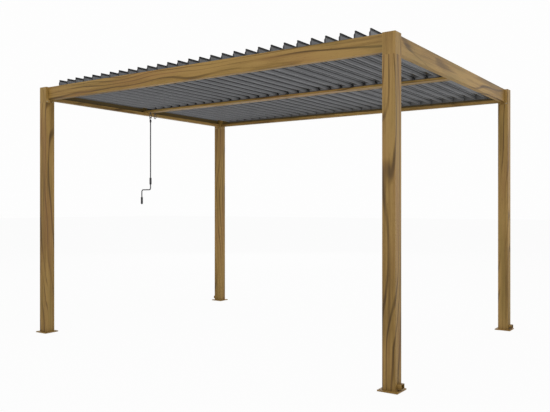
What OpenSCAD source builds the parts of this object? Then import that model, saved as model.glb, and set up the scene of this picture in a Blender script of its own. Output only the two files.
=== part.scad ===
// Pergola with a louvred roof: four posts, four gutter beams, a middle beam
// and two banks of turning blades. All sizes in millimetres.
// Origin: plan centre of the frame, at the underside of the base plates.
// X runs along the long side, Y along the short side, Z up.

/* [Frame] */
// Length over the outer faces of the posts, along X
frame_len = 3940; // [3000:10:5000]
// Depth over the outer faces of the posts, along Y
frame_depth = 2900; // [2000:10:3600]
// Height from the ground to the tops of the posts
frame_height = 2510; // [2200:10:2800]

/* [Posts] */
// Width of a square post
post_w = 100; // [90:1:130]
// Wall of a post
post_wall = 2; // [1.5:0.1:4]
// Height of the corner block on top of each post
corner_h = 158; // [145:1:200]
// Wall of a corner block
corner_wall = 3; // [2:0.1:5]
// Depth that the corner block's spigot reaches down into the post
spigot_len = 90; // [40:1:150]

/* [Base plates] */
// Width of a square base plate
plate_w = 154; // [150:1:200]
// Thickness of a base plate
plate_t = 10; // [6:0.5:16]
// Diameter of an anchor hole
anchor_d = 11; // [8:0.5:13]
// Distance from the plate's edge to the centre of an anchor hole
anchor_inset = 13.5; // [10:0.5:14]
// Height of the sleeve that stands up inside the post
sleeve_h = 120; // [90:1:200]

/* [Beams] */
// Height of a main beam
beam_h = 130; // [120:1:140]
// Distance from a post's outer face to a beam's outer face
beam_set = 32; // [10:1:45]
// Width of the hollow box along a beam's outer side
beam_box_w = 22; // [16:1:28]
// Wall of a beam
beam_wall = 2; // [1.5:0.1:3]
// Width of the gutter floor beside the box
gutter_w = 28; // [20:1:32]
// Height of the gutter lip
lip_h = 30; // [20:1:34]
// Width of the stiffening return on top of the lip
lip_return = 5; // [3:0.5:8]
// Length of the corner block's tongue inside a beam
tongue_len = 60; // [30:1:120]

/* [Middle beam] */
// Width of the middle beam's hollow box
mid_box_w = 18; // [14:1:20]
// Width of the middle beam over its two lips
mid_w = 100; // [98:1:120]
// Height of the middle beam's lips
mid_lip_h = 20; // [12:1:24]

/* [Drains] */
// Width of a drain spout at the foot of a post
spout_w = 50; // [30:1:60]
// Height of a drain spout
spout_h = 34; // [25:1:50]
// Height of a drain spout's underside above its base plate
spout_lift = 12; // [4:1:30]
// Distance that a drain spout stands out from its post
spout_len = 35; // [28:1:60]
// Wall of a drain spout
spout_wall = 2; // [1.5:0.1:4]

/* [Louvres] */
// Distance between the turning axes of two blades
louvre_pitch = 124.5; // [124:0.5:130]
// Least distance from a side beam's box to the first or last axis
louvre_end_room = 155; // [130:1:200]
// Height of a blade above its axis while the roof is open
blade_up = 101; // [99:0.5:102]
// Height of a blade below its axis while the roof is open
blade_down = 34; // [32:0.5:35]
// Thickness of a blade's flat edges
blade_edge_t = 4; // [3:0.1:4.5]
// Thickness of a blade across its hollow back
blade_body_t = 12; // [10:0.5:12]
// Wall of a blade
blade_wall = 1.6; // [1.2:0.1:2]
// Height of the drip lip along the upper edge
drip_lip = 7; // [5:0.5:7.5]
// Height of the rain lip along the lower edge
rain_lip = 8; // [6:0.5:8.5]
// Depth of the turning axis below the tops of the beams
axis_drop = 38; // [30:0.5:40]
// Thickness of a blade's end cap
blade_cap_t = 3; // [2:0.5:6]

/* [Turning gear] */
// Radius of a blade's pivot pin
pivot_r = 4; // [3:0.1:5]
// Radius of a link pin
link_pin_r = 3; // [2.5:0.1:4]
// Distance from a blade's axis to its link pin
link_arm = 30; // [28:0.5:32]
// Angle that the blades turn from open to closed
turn_angle = 82; // [70:1:82]
// Thickness of the pivot strips
strip_t = 5; // [4:0.5:6]
// Height of the pivot strips above the blades' axes
strip_up = 14; // [10:1:16]
// Depth of the pivot strips below the blades' axes
strip_down = 38; // [20:1:38]
// Thickness of the tilt bars
bar_t = 4; // [3:0.5:5]
// Height of the tilt bars
bar_h = 16; // [12:1:18]
// Thickness of the levers on the blades' ends
lever_t = 3; // [2:0.5:4]
// Gap at each side of the tilt bars
bar_gap = 3; // [2:0.5:3.5]
// Radial clearance of pins in their holes
pin_clear = 0.05; // [0.02:0.01:0.1]

/* [Crank] */
// Width of the crank eyes
eye_w = 38; // [30:1:46]
// Thickness of the eyes' wire
eye_wire = 8; // [6:0.5:9]
// Straight length of the eyes' sides
eye_side = 20; // [10:1:40]
// Diameter of the crank rod
rod_d = 13; // [10:0.5:16]
// Length of the crank's upper rod
rod_len = 800; // [500:10:1000]
// Sideways throw of the crank
crank_throw = 145; // [100:1:200]
// Diameter of the crank's grips
grip_d = 25; // [20:0.5:32]
// Length of a grip
grip_len = 80; // [60:1:120]

/* [Hidden] */
$fn = 48;
// Running gap between a blade's outer end and its strip
blade_gap = 5;
// Sliding clearance of spigots, sleeves and tongues
slip = 0.3;
// Small overlap that joins two parts of one solid
bite = 0.5;
// Amount by which a cutting shape passes a face
past = 1;

// Centres of the posts, and the planes and lengths of the beams
half_len = frame_len / 2;
half_depth = frame_depth / 2;
post_x = half_len - post_w / 2;
post_y = half_depth - post_w / 2;
beam_top = frame_height;
beam_bottom = frame_height - beam_h;
wall_inset = beam_set + beam_box_w;
wall_x = half_len - wall_inset;
wall_y = half_depth - wall_inset;
beam_w = beam_box_w + gutter_w;
long_beam = frame_len - 2 * post_w;
short_beam = frame_depth - 2 * post_w;
sleeve_wall = 3;
// Margin of the water window in a corner block, inside the gutter's width
window_margin = 2;

// Middle beam
mid_bottom = beam_bottom + lip_h;
mid_h = beam_top - mid_bottom;
mid_wall_y = mid_box_w / 2;

// Louvres
axis_z = beam_top - axis_drop;
louvre_count = floor((2 * wall_x - 2 * louvre_end_room) / louvre_pitch) + 1;
first_axis = -louvre_pitch * (louvre_count - 1) / 2;
function axis_x(i) = first_axis + i * louvre_pitch;
function two_digits(n) = n < 10 ? str("0", n) : str(n);
function louvre_name(i) = str("louvre_", two_digits(i + 1));

// Layers beside the middle beam, as distances from its centre plane
strip_face = mid_wall_y + strip_t;
bar_near = strip_face + bar_gap;
bar_far = bar_near + bar_t;
lever_near = bar_far + bar_gap;
blade_near = lever_near + lever_t;
blade_far = wall_y - strip_t - blade_gap;
blade_len = blade_far - blade_near;
pin_end = 0.5;
// Length of a pivot strip past the first and last axis
strip_over = 30;

// The link pins stand equally far to each side of the axis when open and closed
link_angle = turn_angle / 2;
link_x = link_arm * sin(link_angle);
link_z = -link_arm * cos(link_angle);
lever_r = bar_h / 2;
lever_arm_w = 2 * lever_r - 4;

// Blade section, measured from its axis: +X is the ceiling face
face_x = blade_body_t / 2;
back_x = -blade_body_t / 2;
edge_x = face_x - blade_edge_t;
lip_t = 3;
slope_low = 22;
slope_run = 10;
hump_low = -(slope_low - slope_run);
hump_high = blade_up - 29;
slope_high = blade_up - 17;
rib_r = 6;
rib_x = face_x - 1;
groove_w = 5;
groove_depth = 2.5;
core_h = rib_r + groove_w + blade_wall;
weep_w = 4;
weep_h = 8;

// Gearboxes at the left end of the middle beam
gear_back = 90;
gear_reach = 28;
gear_x = first_axis - gear_back;
eye_x = gear_x + gear_reach;
gear_near = blade_near + 1;
gear_w = mid_w / 2 - beam_wall - gear_near;
gear_y = gear_near + gear_w / 2;
gear_floor = mid_bottom + beam_wall;
gear_case_r = 20;
gear_column = 32;
worm_case_r = gear_w / 2;
gear_foot_h = 6;
worm_case_h = 84;
gear_web_h = 76;
drive_shaft_r = 6;
drive_shaft_in = 10;
eye_shaft_r = 5;
eye_shaft_in = 20;
eye_hole_r = 7;

// Crank
eye_ring_r = (eye_w - eye_wire) / 2;
neck_r = 8;
neck_h = 12;
neck_gap = 8;
neck_top = mid_bottom - neck_gap;
ring_bite = 2;
eye_top_z = neck_top - neck_h - eye_wire / 2 - eye_ring_r + ring_bite;
eye_low_z = eye_top_z - eye_side;
eye_bar_z = eye_low_z - eye_ring_r;
hook_r = 12;
hook_wire = 8;
hook_gap = 0.3;
hook_z = eye_bar_z + eye_wire / 2 + hook_gap + hook_wire / 2 - hook_r;
collar_d = 22;
collar_h = 30;
stem_h = 4;
collar_top = hook_z - hook_r - stem_h;
rod_top = collar_top - collar_h;
elbow_r = 22;
elbow_z = rod_top - rod_len + elbow_r;
handle_len = 150;
handle_top = elbow_z - 2 * elbow_r;
handle_low = handle_top - handle_len;
grip_above = 40;
rod_end = 5;

// Fixed flashings beside the end blades
flash_t = 2;
flash_leg = 26;
flash_end = 60;
flash_over = 9;
flash_above = 10;
flash_below = 12;
flash_upstand = 7;

post_names = ["front_right", "front_left", "back_left", "back_right"];
post_signs = [[1, -1], [-1, -1], [-1, 1], [1, 1]];
// Sides that the drain spouts leave by: 0 is none, 1 is +X, -1 is -X
spout_signs = [1, 0, -1, 1];

louvre_names = [for (i = [0:louvre_count - 1]) louvre_name(i)];

wood = [0.56, 0.45, 0.29];
slate = [0.30, 0.31, 0.33];
steel = [0.62, 0.63, 0.65];
dark = [0.20, 0.21, 0.22];

// A square tube standing on z0
module square_tube(w, wall, z0, h) {
    translate([0, 0, z0 + h / 2])
        difference() {
            cube([w, w, h], center = true);
            cube([w - 2 * wall, w - 2 * wall, h + 2 * past], center = true);
        }
}

// Opening through a post's foot for the water, on the side given by s
module drain_window(s, wall) {
    win_w = spout_w - 2 * spout_wall;
    win_h = spout_h - 2 * spout_wall;
    translate([s * (post_w / 2 - wall / 2), 0, plate_t + spout_lift + spout_wall + win_h / 2])
        cube([wall + 2 * past, win_w, win_h], center = true);
}

module post(i) {
    s = spout_signs[i];
    color(wood)
    translate([post_signs[i][0] * post_x, post_signs[i][1] * post_y, 0])
        difference() {
            square_tube(post_w, post_wall, plate_t, frame_height - corner_h - plate_t);
            if (s != 0) drain_window(s, post_wall);
        }
}

module base_plate(i) {
    s = spout_signs[i];
    hole = plate_w / 2 - anchor_inset;
    sleeve_w = post_w - 2 * post_wall - 2 * slip;
    color(wood)
    translate([post_signs[i][0] * post_x, post_signs[i][1] * post_y, 0])
        difference() {
            union() {
                translate([0, 0, plate_t / 2]) cube([plate_w, plate_w, plate_t], center = true);
                square_tube(sleeve_w, sleeve_wall, plate_t - bite, sleeve_h + bite);
            }
            for (x = [-hole, hole], y = [-hole, hole])
                translate([x, y, -past]) cylinder(r = anchor_d / 2, h = plate_t + 2 * past);
            if (s != 0) drain_window(s, post_wall + slip + sleeve_wall);
        }
}

// One of the two tongues that a corner block reaches into the beams, along +X
module tongue(height) {
    t = beam_box_w - 2 * beam_wall - 2 * slip;
    translate([post_w / 2 - corner_wall, -t / 2, -height / 2])
        cube([corner_wall + tongue_len, t, height]);
}

module corner(i) {
    sx = post_signs[i][0];
    sy = post_signs[i][1];
    low = frame_height - corner_h;
    inner = post_w - 2 * corner_wall;
    spigot_w = post_w - 2 * post_wall - 2 * slip;
    tongue_h = beam_h - 2 * beam_wall - 2 * slip;
    box_mid = beam_set + beam_box_w / 2 - post_w / 2;
    window = gutter_w - 2 * window_margin;
    window_in = wall_inset + gutter_w / 2 - post_w / 2;
    window_z = beam_bottom + beam_wall + window / 2;
    tongue_z = beam_bottom + beam_h / 2;
    color(wood)
    translate([sx * post_x, sy * post_y, 0])
    mirror([sx > 0 ? 1 : 0, 0, 0])
    mirror([0, sy > 0 ? 1 : 0, 0]) {
        difference() {
            union() {
                translate([0, 0, low + corner_h / 2])
                    cube([post_w, post_w, corner_h], center = true);
                translate([0, 0, low - spigot_len / 2 + bite])
                    cube([spigot_w, spigot_w, spigot_len + 2 * bite], center = true);
            }
            translate([0, 0, low - spigot_len - past])
                translate([-(spigot_w / 2 - corner_wall), -(spigot_w / 2 - corner_wall), 0])
                    cube([spigot_w - 2 * corner_wall, spigot_w - 2 * corner_wall,
                          spigot_len + past + corner_h - corner_wall]);
            translate([post_w / 2 - corner_wall / 2, window_in, window_z])
                cube([corner_wall + 2 * past, window, window], center = true);
            translate([window_in, post_w / 2 - corner_wall / 2, window_z])
                cube([window, corner_wall + 2 * past, window], center = true);
        }
        translate([0, box_mid, tongue_z]) tongue(tongue_h);
        translate([box_mid, 0, tongue_z]) rotate([0, 0, 90]) tongue(tongue_h);
    }
}

// Main beam section: x runs inwards from the outer face, y up from the underside
module beam_section() {
    difference() {
        union() {
            square([beam_box_w, beam_h]);
            square([beam_w, beam_wall]);
            translate([beam_w - beam_wall, 0]) square([beam_wall, lip_h]);
            translate([beam_w - lip_return, lip_h - beam_wall]) square([lip_return, beam_wall]);
        }
        translate([beam_wall, beam_wall])
            square([beam_box_w - 2 * beam_wall, beam_h - 2 * beam_wall]);
    }
}

// Beam whose outer face looks along -Y before it is turned about Z
module beam(length, half_span, angle) {
    color(wood)
    rotate([0, 0, angle])
    translate([-length / 2, -half_span + beam_set, beam_bottom])
    rotate([90, 0, 90])
        linear_extrude(height = length) beam_section();
}

module beam_middle() {
    color(wood)
    difference() {
        translate([-wall_x, 0, mid_bottom])
        rotate([90, 0, 90])
            linear_extrude(height = 2 * wall_x)
            difference() {
                union() {
                    translate([-mid_box_w / 2, 0]) square([mid_box_w, mid_h]);
                    translate([-mid_w / 2, 0]) square([mid_w, beam_wall]);
                    for (s = [-1, 1])
                        translate([s * (mid_w / 2 - beam_wall / 2) - beam_wall / 2, 0])
                            square([beam_wall, mid_lip_h]);
                }
                translate([-mid_box_w / 2 + beam_wall, beam_wall])
                    square([mid_box_w - 2 * beam_wall, mid_h - 2 * beam_wall]);
            }
        for (s = [-1, 1])
            translate([eye_x, s * gear_y, mid_bottom - past])
                cylinder(r = eye_hole_r, h = beam_wall + 2 * past);
    }
}

module drain_spouts() {
    color(wood)
    for (i = [0:3])
        if (spout_signs[i] != 0)
            translate([post_signs[i][0] * post_x + spout_signs[i] * (post_w / 2 + spout_len / 2),
                       post_signs[i][1] * post_y, plate_t + spout_lift + spout_h / 2])
                difference() {
                    cube([spout_len, spout_w, spout_h], center = true);
                    cube([spout_len + 2 * past, spout_w - 2 * spout_wall,
                          spout_h - 2 * spout_wall], center = true);
                }
}

// Strip with one hole for each blade, its inner face at y and its body towards -Y
module pivot_strip(y) {
    difference() {
        translate([axis_x(0) - strip_over, y - strip_t, axis_z - strip_down])
            cube([axis_x(louvre_count - 1) - axis_x(0) + 2 * strip_over, strip_t, strip_up + strip_down]);
        for (i = [0:louvre_count - 1])
            translate([axis_x(i), y + past, axis_z])
                rotate([90, 0, 0]) cylinder(r = pivot_r + pin_clear, h = strip_t + 2 * past);
    }
}

module pivot_strips() {
    color(dark) {
        pivot_strip(-wall_y + strip_t);
        pivot_strip(-mid_wall_y);
        pivot_strip(mid_wall_y + strip_t);
        pivot_strip(wall_y);
    }
}

module end_flashings() {
    left_in = axis_x(0) - blade_down + flash_over;
    right_in = axis_x(louvre_count - 1) + blade_up - flash_over;
    high = axis_z + flash_above;
    low = axis_z - flash_below;
    length = short_beam / 2 - slip - flash_end;
    color(slate)
    for (s = [-1, 1])
        translate([0, s * (flash_end + length / 2) + length / 2, 0])
        rotate([90, 0, 0])
        linear_extrude(height = length) {
            translate([-wall_x, high]) square([wall_x + left_in, flash_t]);
            translate([-wall_x, high - flash_leg + flash_t]) square([flash_t, flash_leg]);
            translate([right_in, low]) square([wall_x - right_in, flash_t]);
            translate([right_in, low]) square([flash_t, flash_upstand]);
            translate([wall_x - flash_t, low]) square([flash_t, flash_leg]);
        }
}

module gearboxes() {
    color(dark)
    for (s = [-1, 1])
        translate([0, s * gear_y, 0])
        difference() {
            union() {
                translate([gear_x, gear_w / 2, axis_z])
                    rotate([90, 0, 0]) cylinder(r = gear_case_r, h = gear_w);
                translate([gear_x - gear_column / 2, -gear_w / 2, gear_floor])
                    cube([gear_column, gear_w, axis_z - gear_floor]);
                translate([eye_x, 0, gear_floor])
                    cylinder(r = worm_case_r, h = worm_case_h);
                translate([gear_x, -gear_w / 4, gear_floor])
                    cube([gear_reach, gear_w / 2, gear_web_h]);
                translate([gear_x - gear_case_r, -gear_w / 2, gear_floor])
                    cube([gear_reach + gear_case_r + worm_case_r, gear_w, gear_foot_h]);
            }
            translate([gear_x, -s * (gear_w / 2 + past), axis_z])
                rotate([-s * 90, 0, 0])
                cylinder(r = drive_shaft_r + pin_clear, h = drive_shaft_in + slip + past);
            translate([eye_x, 0, gear_floor - past])
                cylinder(r = eye_shaft_r + pin_clear, h = eye_shaft_in + slip + past);
        }
}

// Lever from an axis to its link pin, in the layer next to the tilt bar
module lever(x, s) {
    translate([x, s * (lever_near + lever_t / 2), axis_z])
    rotate([90, 0, 0]) {
        translate([0, 0, -lever_t / 2]) cylinder(r = lever_r, h = lever_t);
        translate([link_x, link_z, -lever_t / 2]) cylinder(r = lever_r, h = lever_t);
        rotate([0, 0, link_angle - 90])
            translate([0, -lever_arm_w / 2, -lever_t / 2]) cube([link_arm, lever_arm_w, lever_t]);
    }
}

// Round pin along Y between two distances from the middle beam's centre plane
module pin(x, z, r, near, far, s) {
    translate([x, s * (near + far) / 2, z])
        rotate([90, 0, 0]) cylinder(r = r, h = far - near, center = true);
}

// Outline of a blade: flat ceiling face, hollow back, drip lip and rain lip
function blade_outline() = [
    [face_x, -blade_down],
    [face_x, blade_up - lip_t],
    [face_x + drip_lip, blade_up - lip_t],
    [face_x + drip_lip, blade_up],
    [edge_x, blade_up],
    [edge_x, slope_high],
    [back_x, hump_high],
    [back_x, hump_low],
    [edge_x, -slope_low],
    [edge_x, -blade_down + lip_t],
    [edge_x - rain_lip, -blade_down + lip_t],
    [edge_x - rain_lip, -blade_down]
];

// Hollow inside the blade's back
function blade_hollow() = [
    [face_x - blade_wall, core_h],
    [face_x - blade_wall, slope_high - slope_run / 2],
    [edge_x + blade_wall / 4, slope_high - slope_run / 2],
    [back_x + blade_wall, hump_high - blade_wall / 2],
    [back_x + blade_wall, hump_low + blade_wall],
    [face_x - groove_depth - blade_wall, hump_low + blade_wall],
    [face_x - groove_depth - blade_wall, core_h]
];

// Section along the blade, or of its end cap, which has only a weep slot
module blade_section(hollow) {
    difference() {
        union() {
            polygon(blade_outline());
            translate([rib_x, 0]) circle(r = rib_r);
        }
        if (hollow)
            polygon(blade_hollow());
        else
            translate([back_x + 2 * blade_wall, hump_high - weep_h - 2 * blade_wall])
                square([weep_w, weep_h]);
        for (z = [-rib_r - groove_w, rib_r])
            translate([face_x - groove_depth, z]) square([groove_depth + rib_r, groove_w]);
    }
}

// One blade of a bank: s is -1 in front of the middle beam and 1 behind it
module blade(x, s) {
    translate([x, s * (blade_near + blade_far) / 2 + blade_len / 2, axis_z])
    rotate([90, 0, 0]) {
        translate([0, 0, blade_cap_t - bite])
            linear_extrude(height = blade_len - 2 * (blade_cap_t - bite)) blade_section(true);
        for (z = [0, blade_len - blade_cap_t])
            translate([0, 0, z]) linear_extrude(height = blade_cap_t) blade_section(false);
    }
    lever(x, s);
    pin(x, axis_z, pivot_r, mid_wall_y + pin_end, blade_near + bite, s);
    pin(x, axis_z, pivot_r, blade_far - bite, wall_y - pin_end, s);
    pin(x + link_x, axis_z + link_z, link_pin_r, bar_near - pin_end, lever_near + bite, s);
}

module louvre(i) {
    color(slate) {
        blade(axis_x(i), -1);
        blade(axis_x(i), 1);
    }
}

module drive_arms() {
    color(dark)
    for (s = [-1, 1]) {
        lever(gear_x, s);
        pin(gear_x, axis_z, drive_shaft_r, lever_near + bite, gear_near + drive_shaft_in, s);
        pin(gear_x + link_x, axis_z + link_z, link_pin_r, bar_near - pin_end, lever_near + bite, s);
    }
}

module tilt_bars() {
    x0 = gear_x + link_x;
    x1 = axis_x(louvre_count - 1) + link_x;
    z = axis_z + link_z;
    color(steel)
    for (s = [-1, 1])
        translate([0, s * (bar_near + bar_t / 2), 0])
        difference() {
            union() {
                translate([x0, -bar_t / 2, z - bar_h / 2]) cube([x1 - x0, bar_t, bar_h]);
                for (x = [x0, x1])
                    translate([x, 0, z]) rotate([90, 0, 0])
                        cylinder(r = bar_h / 2, h = bar_t, center = true);
            }
            for (x = concat([x0], [for (i = [0:louvre_count - 1]) axis_x(i) + link_x]))
                translate([x, 0, z]) rotate([90, 0, 0])
                    cylinder(r = link_pin_r + pin_clear, h = bar_t + 2 * past, center = true);
        }
}

// Half of a ring in the XZ plane, opening downwards before it is turned
module half_ring(r, wire, angle) {
    rotate([90, 0, 0]) rotate([0, 0, angle])
        rotate_extrude(angle = 180) translate([r, 0]) circle(r = wire / 2);
}

module crank_eye(s) {
    shaft_low = neck_top - bite;
    shaft_high = gear_floor + eye_shaft_in;
    color(steel)
    translate([eye_x, s * gear_y, 0]) {
        translate([0, 0, shaft_low]) cylinder(r = eye_shaft_r, h = shaft_high - shaft_low);
        translate([0, 0, neck_top - neck_h]) cylinder(r = neck_r, h = neck_h);
        translate([0, 0, eye_top_z]) half_ring(eye_ring_r, eye_wire, 0);
        translate([0, 0, eye_low_z]) half_ring(eye_ring_r, eye_wire, 180);
        for (x = [-eye_ring_r, eye_ring_r])
            translate([x, 0, eye_low_z]) cylinder(r = eye_wire / 2, h = eye_side);
    }
}

// Quarter bend from straight down to level, turning towards -X
module elbow(r, wire) {
    translate([-r, 0, 0]) rotate([-90, 0, 0])
        rotate_extrude(angle = 90) translate([r, 0]) circle(r = wire / 2);
}

module crank_rod() {
    color(dark)
    translate([eye_x, -gear_y, 0]) {
        translate([0, 0, hook_z]) rotate([0, 0, 90]) {
            half_ring(hook_r, hook_wire, 0);
            rotate([90, 0, 0]) rotate([0, 0, 180])
                rotate_extrude(angle = 90) translate([hook_r, 0]) circle(r = hook_wire / 2);
        }
        translate([0, 0, collar_top]) cylinder(r = hook_wire / 2, h = stem_h + hook_wire / 4);
        translate([0, 0, rod_top]) cylinder(r = collar_d / 2, h = collar_h);
        translate([0, 0, elbow_z]) cylinder(r = rod_d / 2, h = rod_top - elbow_z + bite);
        translate([0, 0, elbow_z]) elbow(elbow_r, rod_d);
        translate([-crank_throw + elbow_r, 0, elbow_z - elbow_r])
            rotate([0, 90, 0]) cylinder(r = rod_d / 2, h = crank_throw - 2 * elbow_r);
        translate([-crank_throw, 0, handle_top]) rotate([0, 180, 0]) elbow(elbow_r, rod_d);
        translate([-crank_throw, 0, handle_low])
            cylinder(r = rod_d / 2, h = handle_len);
    }
}

// Turned grip on the rod, with rounded ends
module grip(z) {
    end_r = 4;
    inner = rod_d / 2 + slip;
    outer = grip_d / 2;
    translate([0, 0, z])
    rotate_extrude()
        difference() {
            union() {
                square([outer - end_r, grip_len]);
                translate([0, end_r]) square([outer, grip_len - 2 * end_r]);
                for (h = [end_r, grip_len - end_r])
                    translate([outer - end_r, h]) circle(r = end_r);
            }
            translate([0, -past]) square([inner, grip_len + 2 * past]);
        }
}

module crank_grips() {
    color(dark)
    translate([eye_x, -gear_y, 0]) {
        grip(elbow_z + grip_above);
        translate([-crank_throw, 0, 0]) grip(handle_low + rod_end);
    }
}

for (i = [0:3]) {
    post(i);
    base_plate(i);
    corner(i);
}
beam(long_beam, half_depth, 0);  // beam_front
beam(long_beam, half_depth, 180);  // beam_back
beam(short_beam, half_len, -90);  // beam_left
beam(short_beam, half_len, 90);  // beam_right
beam_middle();
drain_spouts();
pivot_strips();
end_flashings();
gearboxes();
crank_eye(-1);  // crank_eye_front
crank_eye(1);  // crank_eye_back
crank_rod();
crank_grips();
drive_arms();
tilt_bars();
for (i = [0:louvre_count - 1])
    louvre(i);
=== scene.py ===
import bpy
import bmesh
import math
from mathutils import Matrix, Vector


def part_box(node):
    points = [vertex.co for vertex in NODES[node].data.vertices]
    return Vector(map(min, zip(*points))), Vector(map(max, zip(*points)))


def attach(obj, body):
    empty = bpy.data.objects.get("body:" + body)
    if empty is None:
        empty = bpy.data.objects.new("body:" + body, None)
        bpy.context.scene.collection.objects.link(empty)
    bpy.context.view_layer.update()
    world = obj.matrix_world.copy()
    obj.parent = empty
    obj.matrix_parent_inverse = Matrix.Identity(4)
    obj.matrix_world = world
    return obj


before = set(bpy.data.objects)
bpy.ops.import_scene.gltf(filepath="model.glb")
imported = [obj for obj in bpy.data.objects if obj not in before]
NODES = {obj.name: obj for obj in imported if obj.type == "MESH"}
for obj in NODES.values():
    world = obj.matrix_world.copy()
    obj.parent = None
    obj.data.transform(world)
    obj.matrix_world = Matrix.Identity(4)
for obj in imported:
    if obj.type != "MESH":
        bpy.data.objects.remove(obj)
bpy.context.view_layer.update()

X, Y, Z = range(3)
LOUVRES = sorted(name for name in NODES if name.startswith("louvre_"))

# Each corner, with the side of X and of Y that it stands on
CORNERS = {
    "front_right": (1, -1),
    "front_left": (-1, -1),
    "back_left": (-1, 1),
    "back_right": (1, 1),
}

# Each outer beam, with the axis across it and the side of that axis that it stands on
SIDES = {"front": (Y, -1), "back": (Y, 1), "left": (X, -1), "right": (X, 1)}

# Camera, solved from the photograph's posts and beams
VIEW_SPOT = (3.8873, -5.7091, 1.2945)
VIEW_TURN = (math.radians(90), 0, math.radians(34.5))
FOCAL_PX = 664.6
PICTURE_W = 550
SENSOR_MM = 36.0
CLIP_END = 200

# Colours, as linear values: the wood film from its lines to its light parts, its drift to red and
# to olive, the dark brown of painted shade inside the gutters, and the coats, plastic and metal
WOOD_LINE = (0.088, 0.047, 0.010)
WOOD_DARK = (0.163, 0.092, 0.021)
WOOD_MID = (0.242, 0.141, 0.033)
WOOD_LIGHT = (0.334, 0.203, 0.057)
WOOD_RED = (0.270, 0.133, 0.042)
WOOD_OLIVE = (0.205, 0.140, 0.032)
# dark brown of painted shade on the gutters' inner walls above their lips
GUTTER_SHADE_BROWN = (0.105, 0.070, 0.020)
SLATE = (0.182, 0.185, 0.192)
RAIL_GREY = (0.085, 0.084, 0.082)
CHARCOAL = (0.022, 0.023, 0.025)
# black of the blades' end caps, also used as painted shade on the blades' top band and rib
# grooves
CAP_AND_SHADE_BLACK = (0.016, 0.016, 0.017)
GRIP_BLACK = (0.030, 0.030, 0.032)
STEEL = (0.17, 0.175, 0.185)
ZINC = (0.46, 0.42, 0.32)

# Sizes of the CAD nodes that the looks follow, in metres: the beams' boxes and gutter lips, a
# hair's margin past a face, and the blades' ends, caps, band of painted shade along the top edge,
# axes and grooves beside the rib
BEAM_BOX_W = 0.022
LIP_H = 0.030
MID_BOX_HALF = 0.009
MID_LIP_H = 0.020
HAIR = 0.0006
BLADE_NEAR = 0.027
BLADE_FAR = 1.386
BLADE_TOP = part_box(LOUVRES[0])[1][Z]
CAP_T = 0.0031
# height of the black band along each blade's top edge, painted shade in place of a drip flange's
# shaded underside
SHADE_BAND_H = 0.017
AXIS_HEIGHT = 2.472
FIRST_AXIS = -1.743
BLADE_PITCH = 0.1245
GROOVE_NEAR = 0.0058
GROOVE_FAR = 0.0112
GROOVE_FLOOR = 0.003


def is_socket(value):
    return isinstance(value, bpy.types.NodeSocket)


def rgba(colour):
    """A colour for a socket: a socket as it is, or three numbers with full alpha."""
    return colour if is_socket(colour) else (*colour, 1)


class Graph:
    """Short calls for building a node tree."""

    def __init__(self, owner):
        owner.use_nodes = True
        self.tree = owner.node_tree

    def node(self, kind, **settings):
        made = self.tree.nodes.new(kind)
        for key, value in settings.items():
            setattr(made, key, value)
        return made

    def link(self, source, target):
        self.tree.links.new(source, target)

    def set(self, target, value):
        """Links a socket to the target, or writes a plain value there."""
        if is_socket(value):
            self.link(value, target)
        else:
            target.default_value = value

    def coords(self, scale=(1, 1, 1), shift=(0, 0, 0)):
        place = self.node("ShaderNodeTexCoord")
        mapping = self.node("ShaderNodeMapping")
        self.link(place.outputs["Object"], mapping.inputs["Vector"])
        mapping.inputs["Scale"].default_value = scale
        mapping.inputs["Location"].default_value = shift
        return mapping.outputs["Vector"]

    def noise(self, vector, scale, detail, roughness, distortion=0.0):
        made = self.node("ShaderNodeTexNoise")
        self.link(vector, made.inputs["Vector"])
        made.inputs["Scale"].default_value = scale
        made.inputs["Detail"].default_value = detail
        made.inputs["Roughness"].default_value = roughness
        made.inputs["Distortion"].default_value = distortion
        return made.outputs["Fac"]

    def math(self, operation, first, second=0.0):
        made = self.node("ShaderNodeMath", operation=operation)
        self.set(made.inputs[0], first)
        self.set(made.inputs[1], second)
        return made.outputs[0]

    def add(self, first, second):
        return self.math("ADD", first, second)

    def minus(self, first, second):
        return self.math("SUBTRACT", first, second)

    def times(self, first, second):
        return self.math("MULTIPLY", first, second)

    def over(self, value, limit):
        """1 where the value is greater than the limit, and 0 elsewhere."""
        return self.math("GREATER_THAN", value, limit)

    def under(self, value, limit):
        """1 where the value is less than the limit, and 0 elsewhere."""
        return self.math("LESS_THAN", value, limit)

    def either(self, first, second):
        return self.math("MAXIMUM", first, second)

    def between(self, mask, low, high):
        """A number that goes from low to high as the mask goes from 0 to 1."""
        return self.add(self.times(mask, high - low), low)

    def step(self, value, low, high):
        """A smooth rise from 0 at low to 1 at high."""
        made = self.node("ShaderNodeMapRange", interpolation_type="SMOOTHSTEP")
        self.link(value, made.inputs["Value"])
        made.inputs["From Min"].default_value = low
        made.inputs["From Max"].default_value = high
        return made.outputs["Result"]

    def split(self, vector):
        made = self.node("ShaderNodeSeparateXYZ")
        self.link(vector, made.inputs[0])
        return made.outputs

    def ramp(self, value, stops):
        made = self.node("ShaderNodeValToRGB")
        self.link(value, made.inputs["Fac"])
        elements = made.color_ramp.elements
        while len(elements) < len(stops):
            elements.new(0.5)
        for element, (place, colour) in zip(elements, stops):
            element.position = place
            element.color = rgba(colour)
        return made.outputs["Color"]

    def mix(self, factor, first, second):
        made = self.node("ShaderNodeMix", data_type="RGBA")
        self.set(made.inputs[0], factor)
        self.set(made.inputs[6], rgba(first))
        self.set(made.inputs[7], rgba(second))
        return made.outputs[2]

    def drift(self, mask, colour, deep, light):
        """A colour that drifts between a deeper and a lighter tone of itself."""
        low = tuple(c * deep for c in colour)
        high = tuple(min(1.0, c * light) for c in colour)
        return self.mix(mask, low, high)


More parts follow.
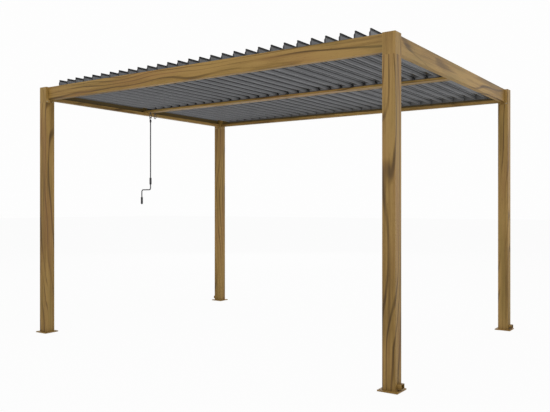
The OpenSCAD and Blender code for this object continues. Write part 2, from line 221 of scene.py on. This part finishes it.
class Surface(Graph):
    """The node tree of a new material."""

    def __init__(self, name):
        self.material = bpy.data.materials.new(name)
        super().__init__(self.material)
        self.shader = self.tree.nodes["Principled BSDF"]

    def bump(self, height, strength, distance):
        made = self.node("ShaderNodeBump")
        made.inputs["Strength"].default_value = strength
        made.inputs["Distance"].default_value = distance
        self.link(height, made.inputs["Height"])
        self.link(made.outputs["Normal"], self.shader.inputs["Normal"])

    def finish(self, colour, roughness, metallic=0.0, specular=0.5):
        self.set(self.shader.inputs["Base Color"], rgba(colour))
        self.set(self.shader.inputs["Roughness"], roughness)
        self.shader.inputs["Metallic"].default_value = metallic
        self.shader.inputs["Specular IOR Level"].default_value = specular
        return self.material


# Noise layers of the wood film: scale along and across the member, detail, roughness, distortion
WANDER = (0.50, 2.8, 2.0, 0.4, 0.2)
DEPTH = (0.9, 9.0, 2.0, 0.5, 0.0)
FIBRE = (5.0, 260.0, 3.0, 0.6, 0.0)
STREAK = (1.1, 42.0, 3.0, 0.6, 0.0)
BLOTCH = (0.9, 6.0, 2.0, 0.5, 0.0)
PORE = (26.0, 620.0, 1.0, 0.5, 0.0)
HUE = (1.3, 9.0, 2.0, 0.5, 0.0)

# Flame lines: lines in a metre along each of the two axes across the member, and their wander
LINES_FIRST = 17.0
LINES_SECOND = LINES_FIRST * 0.8
LINES_WANDER = 11.0

# Values at which each mask starts and is full: a line's edge, its strength, pores and the hues
LINE_EDGE = (0.02, 0.34)
DEPTH_EDGE = (0.30, 0.62)
PORE_EDGE = (0.62, 0.72)
RED_EDGE = (0.50, 0.74)
OLIVE_EDGE = (0.28, 0.48)

# How much each layer counts in the tone, how strong the two hues are, and the tones' colours
FLAME_PART = 0.50
STREAK_PART = 0.84
FIBRE_PART = 0.45
BLOTCH_PART = 0.75
PORE_PART = 0.22
RED_PART = 0.45
OLIVE_PART = 0.40
TONES = [(0.46, WOOD_LINE), (0.65, WOOD_DARK), (0.83, WOOD_MID), (0.98, WOOD_LIGHT)]

FILM_ROUGHNESS = (0.40, 0.54)
FILM_GLOSS = 0.28
FLAME_HEIGHT = 0.3
FILM_BUMP = (0.18, 0.0006)

# Each seed moves its member's noise by this much, and some layers by this much more
SEED_STEPS = (3.71, 5.13, 7.37)
OTHER_SHIFT = 40


def layer(g, axis, shift, settings):
    """One noise layer, drawn out along the member's axis."""
    along, across, detail, roughness, distortion = settings
    scale = tuple(along if i == axis else across for i in range(3))
    return g.noise(g.coords(scale, shift), 1.0, detail, roughness, distortion)


def flame_lines(g, axis, shift, other):
    """1 on plain wood, and less on dark lines that run along the axis and wander."""
    place = g.split(g.coords())
    first, second = (place[i] for i in range(3) if i != axis)
    across = g.add(g.times(first, LINES_FIRST), g.times(second, LINES_SECOND))
    field = g.add(across, g.times(layer(g, axis, shift, WANDER), LINES_WANDER))
    wave = g.times(g.math("PINGPONG", field, 0.5), 2.0)
    line = g.minus(1.0, g.step(wave, *LINE_EDGE))
    depth = g.step(layer(g, axis, other, DEPTH), *DEPTH_EDGE)
    return g.minus(1.0, g.times(line, depth))


def wood_film(g, axis, seed):
    """Colour, roughness and height of oak-look film whose grain runs along the axis."""
    shift = tuple(seed * step for step in SEED_STEPS)
    other = tuple(c + OTHER_SHIFT for c in shift)
    flame = flame_lines(g, axis, shift, other)
    fibre = layer(g, axis, shift, FIBRE)
    streak = layer(g, axis, shift, STREAK)
    blotch = layer(g, axis, shift, BLOTCH)
    pore = g.step(layer(g, axis, other, PORE), *PORE_EDGE)
    hue = layer(g, axis, other, HUE)

    tone = g.add(g.times(flame, FLAME_PART), g.times(streak, STREAK_PART))
    tone = g.add(tone, g.times(g.minus(fibre, 0.5), FIBRE_PART))
    tone = g.add(tone, g.times(g.minus(blotch, 0.5), BLOTCH_PART))
    tone = g.minus(tone, g.times(pore, PORE_PART))

    red = g.times(g.step(hue, *RED_EDGE), RED_PART)
    olive = g.times(g.minus(1.0, g.step(hue, *OLIVE_EDGE)), OLIVE_PART)
    colour = g.mix(red, g.ramp(tone, TONES), WOOD_RED)
    colour = g.mix(olive, colour, WOOD_OLIVE)

    roughness = g.between(fibre, *FILM_ROUGHNESS)
    height = g.add(g.times(flame, FLAME_HEIGHT), fibre)
    return colour, roughness, height


def gutter_shade_mask(g, across, sign, limit, low):
    """1 on a beam's inner wall above the gutter's lip, where painted shade goes, and 0 elsewhere.
    """
    place = g.split(g.coords())
    inside = g.over(g.times(place[across], sign), limit)
    return g.times(inside, g.over(place[Z], low))


def wood(name, axis, seed, shaded_wall=None):
    """Oak-look film, with a dark brown painted as shade over a gutter's inner wall, where the
    given mask marks that wall.
    """
    g = Surface(name)
    colour, roughness, height = wood_film(g, axis, seed)
    if shaded_wall:
        # painted shade: the gutter's inner wall above the lip is coloured dark brown in place of
        # the shade deep in the gutter
        colour = g.mix(gutter_shade_mask(g, *shaded_wall), colour, GUTTER_SHADE_BROWN)
    g.bump(height, *FILM_BUMP)
    return g.finish(colour, roughness, specular=FILM_GLOSS)


# Powder coats: the peel's scale on sheet, gear and bars, its detail and roughness, the slow
# change of tone, the deepest and lightest tone, the surface's roughness, bump and gloss
PEEL_SHEET = 900.0
PEEL_GEAR = 500.0
PEEL_BAR = 700.0
PEEL = (2.0, 0.6)
COAT_CLOUD = (3.0, 3.0, 0.55)
COAT_TONES = (0.86, 1.12)
COAT_ROUGHNESS = (0.43, 0.57)
COAT_BUMP = (0.12, 0.0004)
COAT_GLOSS = 0.45


def powder_coat(name, colour, grain=PEEL_SHEET):
    """Matte powder coat: fine orange peel and a faint change of tone."""
    g = Surface(name)
    place = g.coords()
    peel = g.noise(place, grain, *PEEL)
    cloud = g.noise(place, *COAT_CLOUD)
    g.bump(peel, *COAT_BUMP)
    shade = g.drift(cloud, colour, *COAT_TONES)
    return g.finish(shade, g.between(peel, *COAT_ROUGHNESS), specular=COAT_GLOSS)


# The blades' coat: its clouds are drawn out along the blade
BLADE_STRETCH = (1, 0.25, 1)
BLADE_CLOUD = (9.0, 3.0, 0.55)
BLADE_TONES = (0.86, 1.14)
BLADE_ROUGHNESS = (0.33, 0.47)
BLADE_BUMP = (0.1, 0.0004)
BLADE_METAL = 0.25
BLADE_GLOSS = 0.6


def groove_shade(g, x, z):
    """1 on the two grooves above and below each blade's rib, where painted shade goes, and 0
    elsewhere.
    """
    turns = g.math("DIVIDE", g.minus(x, FIRST_AXIS - BLADE_PITCH / 2), BLADE_PITCH)
    offset = g.times(g.minus(g.math("FRACT", turns), 0.5), BLADE_PITCH)
    height = g.math("ABSOLUTE", g.minus(z, AXIS_HEIGHT))
    groove = g.times(g.over(height, GROOVE_NEAR), g.under(height, GROOVE_FAR))
    return g.times(groove, g.over(offset, GROOVE_FLOOR))


def blade_coat():
    """Slate coat on the blades; their end caps are black, and black painted shade lies on a band
    along their top edge and in their rib grooves.
    """
    g = Surface("blade_coat")
    place = g.coords()
    x, y, z = g.split(place)
    peel = g.noise(place, PEEL_SHEET, *PEEL)
    cloud = g.noise(g.coords(BLADE_STRETCH), *BLADE_CLOUD)
    distance = g.math("ABSOLUTE", y)
    near_cap = g.under(distance, BLADE_NEAR + CAP_T)
    far_cap = g.over(distance, BLADE_FAR - CAP_T)
    # painted shade: a black band along the blade's top edge, in place of the shade under a drip
    # flange
    top_shade = g.over(z, BLADE_TOP - SHADE_BAND_H)
    # painted shade: the rib grooves are coloured black for the shadow in them, together with the
    # top band and the end caps' own black
    caps_and_shade = g.either(g.either(near_cap, far_cap), g.either(top_shade, groove_shade(g, x, z)))
    shade = g.mix(caps_and_shade, g.drift(cloud, SLATE, *BLADE_TONES), CAP_AND_SHADE_BLACK)
    g.bump(peel, *BLADE_BUMP)
    roughness = g.between(peel, *BLADE_ROUGHNESS)
    return g.finish(shade, roughness, metallic=BLADE_METAL, specular=BLADE_GLOSS)


SCRATCH_STRETCH = (1, 1, 24)
SCRATCH = (160.0, 3.0, 0.65)
STEEL_CLOUD = (30.0, 2.0, 0.5)
STEEL_TONES = (0.85, 1.0)
STEEL_ROUGHNESS = (0.26, 0.46)
STEEL_BUMP = (0.15, 0.0003)


def satin_steel(name, colour):
    """Plain steel with fine drawn scratches round its surface."""
    g = Surface(name)
    scratch = g.noise(g.coords(SCRATCH_STRETCH), *SCRATCH)
    cloud = g.noise(g.coords(), *STEEL_CLOUD)
    g.bump(scratch, *STEEL_BUMP)
    shade = g.drift(cloud, colour, *STEEL_TONES)
    return g.finish(shade, g.between(scratch, *STEEL_ROUGHNESS), metallic=1.0)


PITS = (1500.0, 2.0, 0.6)
PLASTIC_TONES = (0.8, 1.2)
PLASTIC_ROUGHNESS = (0.50, 0.65)
PLASTIC_BUMP = (0.25, 0.0004)
PLASTIC_GLOSS = 0.4


def moulded(name, colour):
    """Moulded plastic with a fine spark-eroded grain."""
    g = Surface(name)
    pits = g.noise(g.coords(), *PITS)
    g.bump(pits, *PLASTIC_BUMP)
    shade = g.drift(pits, colour, *PLASTIC_TONES)
    return g.finish(shade, g.between(pits, *PLASTIC_ROUGHNESS), specular=PLASTIC_GLOSS)


def paint(node, material):
    """Gives a CAD node one material all over."""
    mesh = NODES[node].data
    mesh.materials.clear()
    mesh.materials.append(material)


# Seeds of the wood film, so that no two members show the same grain
POST_SEED = 1
CORNER_SEED = 11
PLATE_SEED = 21
BEAM_SEED = 31
MIDDLE_SEED = 35
SPOUT_SEED = 36


def dress_frame():
    """Wood film on the frame, its grain along each member, with painted shade on the gutters'
    inner walls.
    """
    for i, name in enumerate(CORNERS):
        paint("post_" + name, wood("wood_post_" + name, Z, POST_SEED + i))
        paint("corner_" + name, wood("wood_corner_" + name, Z, CORNER_SEED + i))
        paint("base_plate_" + name, wood("wood_plate_" + name, X, PLATE_SEED + i))
    for i, (side, (across, sign)) in enumerate(SIDES.items()):
        low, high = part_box("beam_" + side)
        outer = max(abs(low[across]), abs(high[across]))
        # the inner wall above each gutter's lip, which the wood film darkens as painted shade
        limit = -(outer - BEAM_BOX_W) - HAIR
        shaded_wall = (across, -sign, limit, low[Z] + LIP_H + HAIR)
        paint("beam_" + side, wood("wood_beam_" + side, 1 - across, BEAM_SEED + i, shaded_wall))
    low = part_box("beam_middle")[0]
    shaded_wall = (Y, 1, -MID_BOX_HALF - HAIR, low[Z] + MID_LIP_H + HAIR)
    paint("beam_middle", wood("wood_beam_middle", X, MIDDLE_SEED, shaded_wall))
    paint("drain_spouts", wood("wood_spouts", X, SPOUT_SEED))


def dress_roof():
    """Powder coat, steel and plastic on the roof, the turning gear and the crank."""
    coat = blade_coat()
    for name in LOUVRES:
        paint(name, coat)
    paint("end_flashings", powder_coat("flashing_coat", SLATE))
    paint("pivot_strips", powder_coat("rail_coat", RAIL_GREY))
    dark = powder_coat("gear_coat", CHARCOAL, PEEL_GEAR)
    for name in ("gearboxes", "drive_arms", "crank_rod"):
        paint(name, dark)
    paint("tilt_bars", powder_coat("bar_coat", SLATE, PEEL_BAR))
    steel = satin_steel("eye_steel", STEEL)
    paint("crank_eye_front", steel)
    paint("crank_eye_back", steel)
    paint("crank_grips", moulded("grip_plastic", GRIP_BLACK))


# Rounds along sharp edges, in metres, and the least angle of an edge that gets one
POST_ROUND = 0.0012
BEAM_ROUND = 0.0007
ROUND_STEPS = 2
SHARP_ANGLE = math.radians(50)


def soften_edges(names, width):
    """A small round along the sharp edges of CAD nodes."""
    for name in names:
        bevel = NODES[name].modifiers.new("edge_round", "BEVEL")
        bevel.width = width
        bevel.segments = ROUND_STEPS
        bevel.limit_method = "ANGLE"
        bevel.angle_limit = SHARP_ANGLE


def soften_frame():
    """Rounds on posts, corner blocks, base plates and beams."""
    kinds = ("corner_", "post_", "base_plate_")
    soften_edges([kind + name for kind in kinds for name in CORNERS], POST_ROUND)
    soften_edges(["beam_" + side for side in (*SIDES, "middle")], BEAM_ROUND)


def add_piece(name, mesh, body, material):
    """Adds a mesh as a piece that rides on a CAD body."""
    piece = bpy.data.objects.new(name, mesh)
    bpy.context.collection.objects.link(piece)
    mesh.materials.append(material)
    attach(piece, body)


# Screw heads: radius and height in metres, the upright rim's share of the height, the shares of
# the radius where the dome ends and the recess has its floor, the floor's share of the height,
# and the mesh's fineness
SCREW_R = 0.0055
SCREW_H = 0.0030
SCREW_RIM = 0.35
DOME_END = 0.45
RECESS_R = 0.36
RECESS_H = 0.55
SCREW_RINGS = 4
SCREW_SIDES = 16

# Screws' places, in metres: from the middle of the post's face, and below the beams
SCREW_SIDE = 0.033
SCREW_DROP = 0.018


def screw_profile():
    """Radius and height of each ring of a screw head: rim, dome and round recess."""
    profile = [(SCREW_R, 0.0), (SCREW_R, SCREW_H * SCREW_RIM)]
    for step in range(1, SCREW_RINGS + 1):
        angle = math.radians(90) * step / SCREW_RINGS
        radius = SCREW_R * (DOME_END + (1 - DOME_END) * math.cos(angle))
        profile.append((radius, SCREW_H * (SCREW_RIM + (1 - SCREW_RIM) * math.sin(angle))))
    profile.append((SCREW_R * RECESS_R, SCREW_H * RECESS_H))
    return profile


def screw_head(bm, spot, facing):
    """Adds a domed screw head with a round recess, standing on spot along facing."""
    turn = Vector((0, 0, 1)).rotation_difference(Vector(facing)).to_matrix().to_4x4()
    place = Matrix.Translation(Vector(spot)) @ turn
    rings = []
    for radius, height in screw_profile():
        ring = []
        for side in range(SCREW_SIDES):
            angle = 2 * math.pi * side / SCREW_SIDES
            point = Vector((radius * math.cos(angle), radius * math.sin(angle), height))
            ring.append(bm.verts.new(place @ point))
        rings.append(ring)
    for low, high in zip(rings, rings[1:]):
        for side in range(SCREW_SIDES):
            after = (side + 1) % SCREW_SIDES
            bm.faces.new((low[side], low[after], high[after], high[side]))
    bm.faces.new(rings[-1])
    bm.faces.new(list(reversed(rings[0])))


def screws(name, spots, body, material):
    """One joined mesh of screw heads: spots holds (place, facing) pairs."""
    bm = bmesh.new()
    for spot, facing in spots:
        screw_head(bm, spot, facing)
    bmesh.ops.recalc_face_normals(bm, faces=bm.faces)
    mesh = bpy.data.meshes.new(name)
    bm.to_mesh(mesh)
    bm.free()
    mesh.polygons.foreach_set("use_smooth", [True] * len(mesh.polygons))
    add_piece(name, mesh, body, material)


def corner_screws(material):
    """Pairs of screws on each post's two inner faces, just under the beams."""
    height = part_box("beam_front")[0][2] - SCREW_DROP
    for name, (side_x, side_y) in CORNERS.items():
        low, high = (Vector(corner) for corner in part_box("post_" + name))
        middle = (low + high) / 2
        half = (high.x - low.x) / 2
        face_x = middle.x - side_x * half
        face_y = middle.y - side_y * half
        spots = []
        for shift in (-SCREW_SIDE, SCREW_SIDE):
            spots.append(((face_x, middle.y + shift, height), (-side_x, 0, 0)))
            spots.append(((middle.x + shift, face_y, height), (0, -side_y, 0)))
        screws("corner_screws_" + name, spots, "frame", material)


# Light levels: the white that the camera sees, the world's light, and the floor's own light on
# diffuse rays and on mirror-like rays
WHITE = 0.985
WORLD_LIGHT = 0.32
FLOOR_LIGHT = 0.85
FLOOR_SHINE = 0.40

# The floor: its side in metres, how much of what the camera sees of it is plain white, which
# leaves the rest for the shadow, and the surface that takes the shadow
FLOOR_SIDE = 120
FLOOR_WHITE = 0.972
FLOOR_GREY = (0.88, 0.88, 0.88)
FLOOR_ROUGHNESS = 0.9
FLOOR_GLOSS = 0.1

# Square lamps: name, place, the point they face, side in metres, watts
LAMPS = [
    ("key", (1.0, -11.0, 4.5), (0, 0, 1.4), 7.0, 300),
    ("top", (0.5, -0.5, 7.5), (0, 0, 0), 6.0, 300),
    ("side", (6.5, 1.5, 0.9), (0, 0, 2.4), 3.0, 135),
    ("fill", (-6.5, 8.5, 4.5), (0, 0, 1.4), 7.0, 300),
]


def make_camera():
    data = bpy.data.cameras.new("camera")
    data.sensor_width = SENSOR_MM
    data.lens = FOCAL_PX / PICTURE_W * SENSOR_MM
    data.clip_end = CLIP_END
    camera = bpy.data.objects.new("camera", data)
    camera.location = VIEW_SPOT
    camera.rotation_euler = VIEW_TURN
    bpy.context.collection.objects.link(camera)
    bpy.context.scene.camera = camera


def make_stage():
    """White floor that keeps a soft shadow."""
    bpy.ops.mesh.primitive_plane_add(size=FLOOR_SIDE, location=(0, 0, 0))
    floor = bpy.context.object
    floor.name = "floor"
    g = Surface("floor")
    g.finish(FLOOR_GREY, FLOOR_ROUGHNESS, specular=FLOOR_GLOSS)
    path = g.node("ShaderNodeLightPath")
    seen = path.outputs["Is Camera Ray"]
    unseen = g.between(path.outputs["Is Glossy Ray"], FLOOR_LIGHT, FLOOR_SHINE)
    strength = g.add(unseen, g.times(seen, WHITE - FLOOR_LIGHT))
    glow = g.node("ShaderNodeEmission")
    g.link(strength, glow.inputs["Strength"])
    mix = g.node("ShaderNodeMixShader")
    g.link(g.between(seen, 1.0, FLOOR_WHITE), mix.inputs[0])
    g.link(g.shader.outputs[0], mix.inputs[1])
    g.link(glow.outputs[0], mix.inputs[2])
    g.link(mix.outputs[0], g.tree.nodes["Material Output"].inputs["Surface"])
    floor.data.materials.append(g.material)


def make_world():
    """White surround that lights the object at a lower level of its own."""
    world = bpy.data.worlds.new("surround")
    bpy.context.scene.world = world
    g = Graph(world)
    path = g.node("ShaderNodeLightPath")
    seen = g.either(path.outputs["Is Camera Ray"], path.outputs["Is Glossy Ray"])
    seen = g.either(seen, path.outputs["Is Transmission Ray"])
    back = g.tree.nodes["Background"]
    back.inputs["Color"].default_value = (1, 1, 1, 1)
    g.link(g.between(seen, WORLD_LIGHT, WHITE), back.inputs["Strength"])


def make_lamp(name, spot, aim, size, power):
    data = bpy.data.lights.new(name, "AREA")
    data.shape = "SQUARE"
    data.size = size
    data.energy = power
    lamp = bpy.data.objects.new(name, data)
    lamp.location = spot
    direction = Vector(aim) - Vector(spot)
    lamp.rotation_euler = direction.to_track_quat("-Z", "Y").to_euler()
    lamp.visible_camera = False
    bpy.context.collection.objects.link(lamp)


make_camera()
dress_frame()
dress_roof()
soften_frame()
corner_screws(satin_steel("screw_zinc", ZINC))
make_stage()
make_world()
for lamp in LAMPS:
    make_lamp(*lamp)
bpy.context.scene.view_settings.view_transform = "Standard"
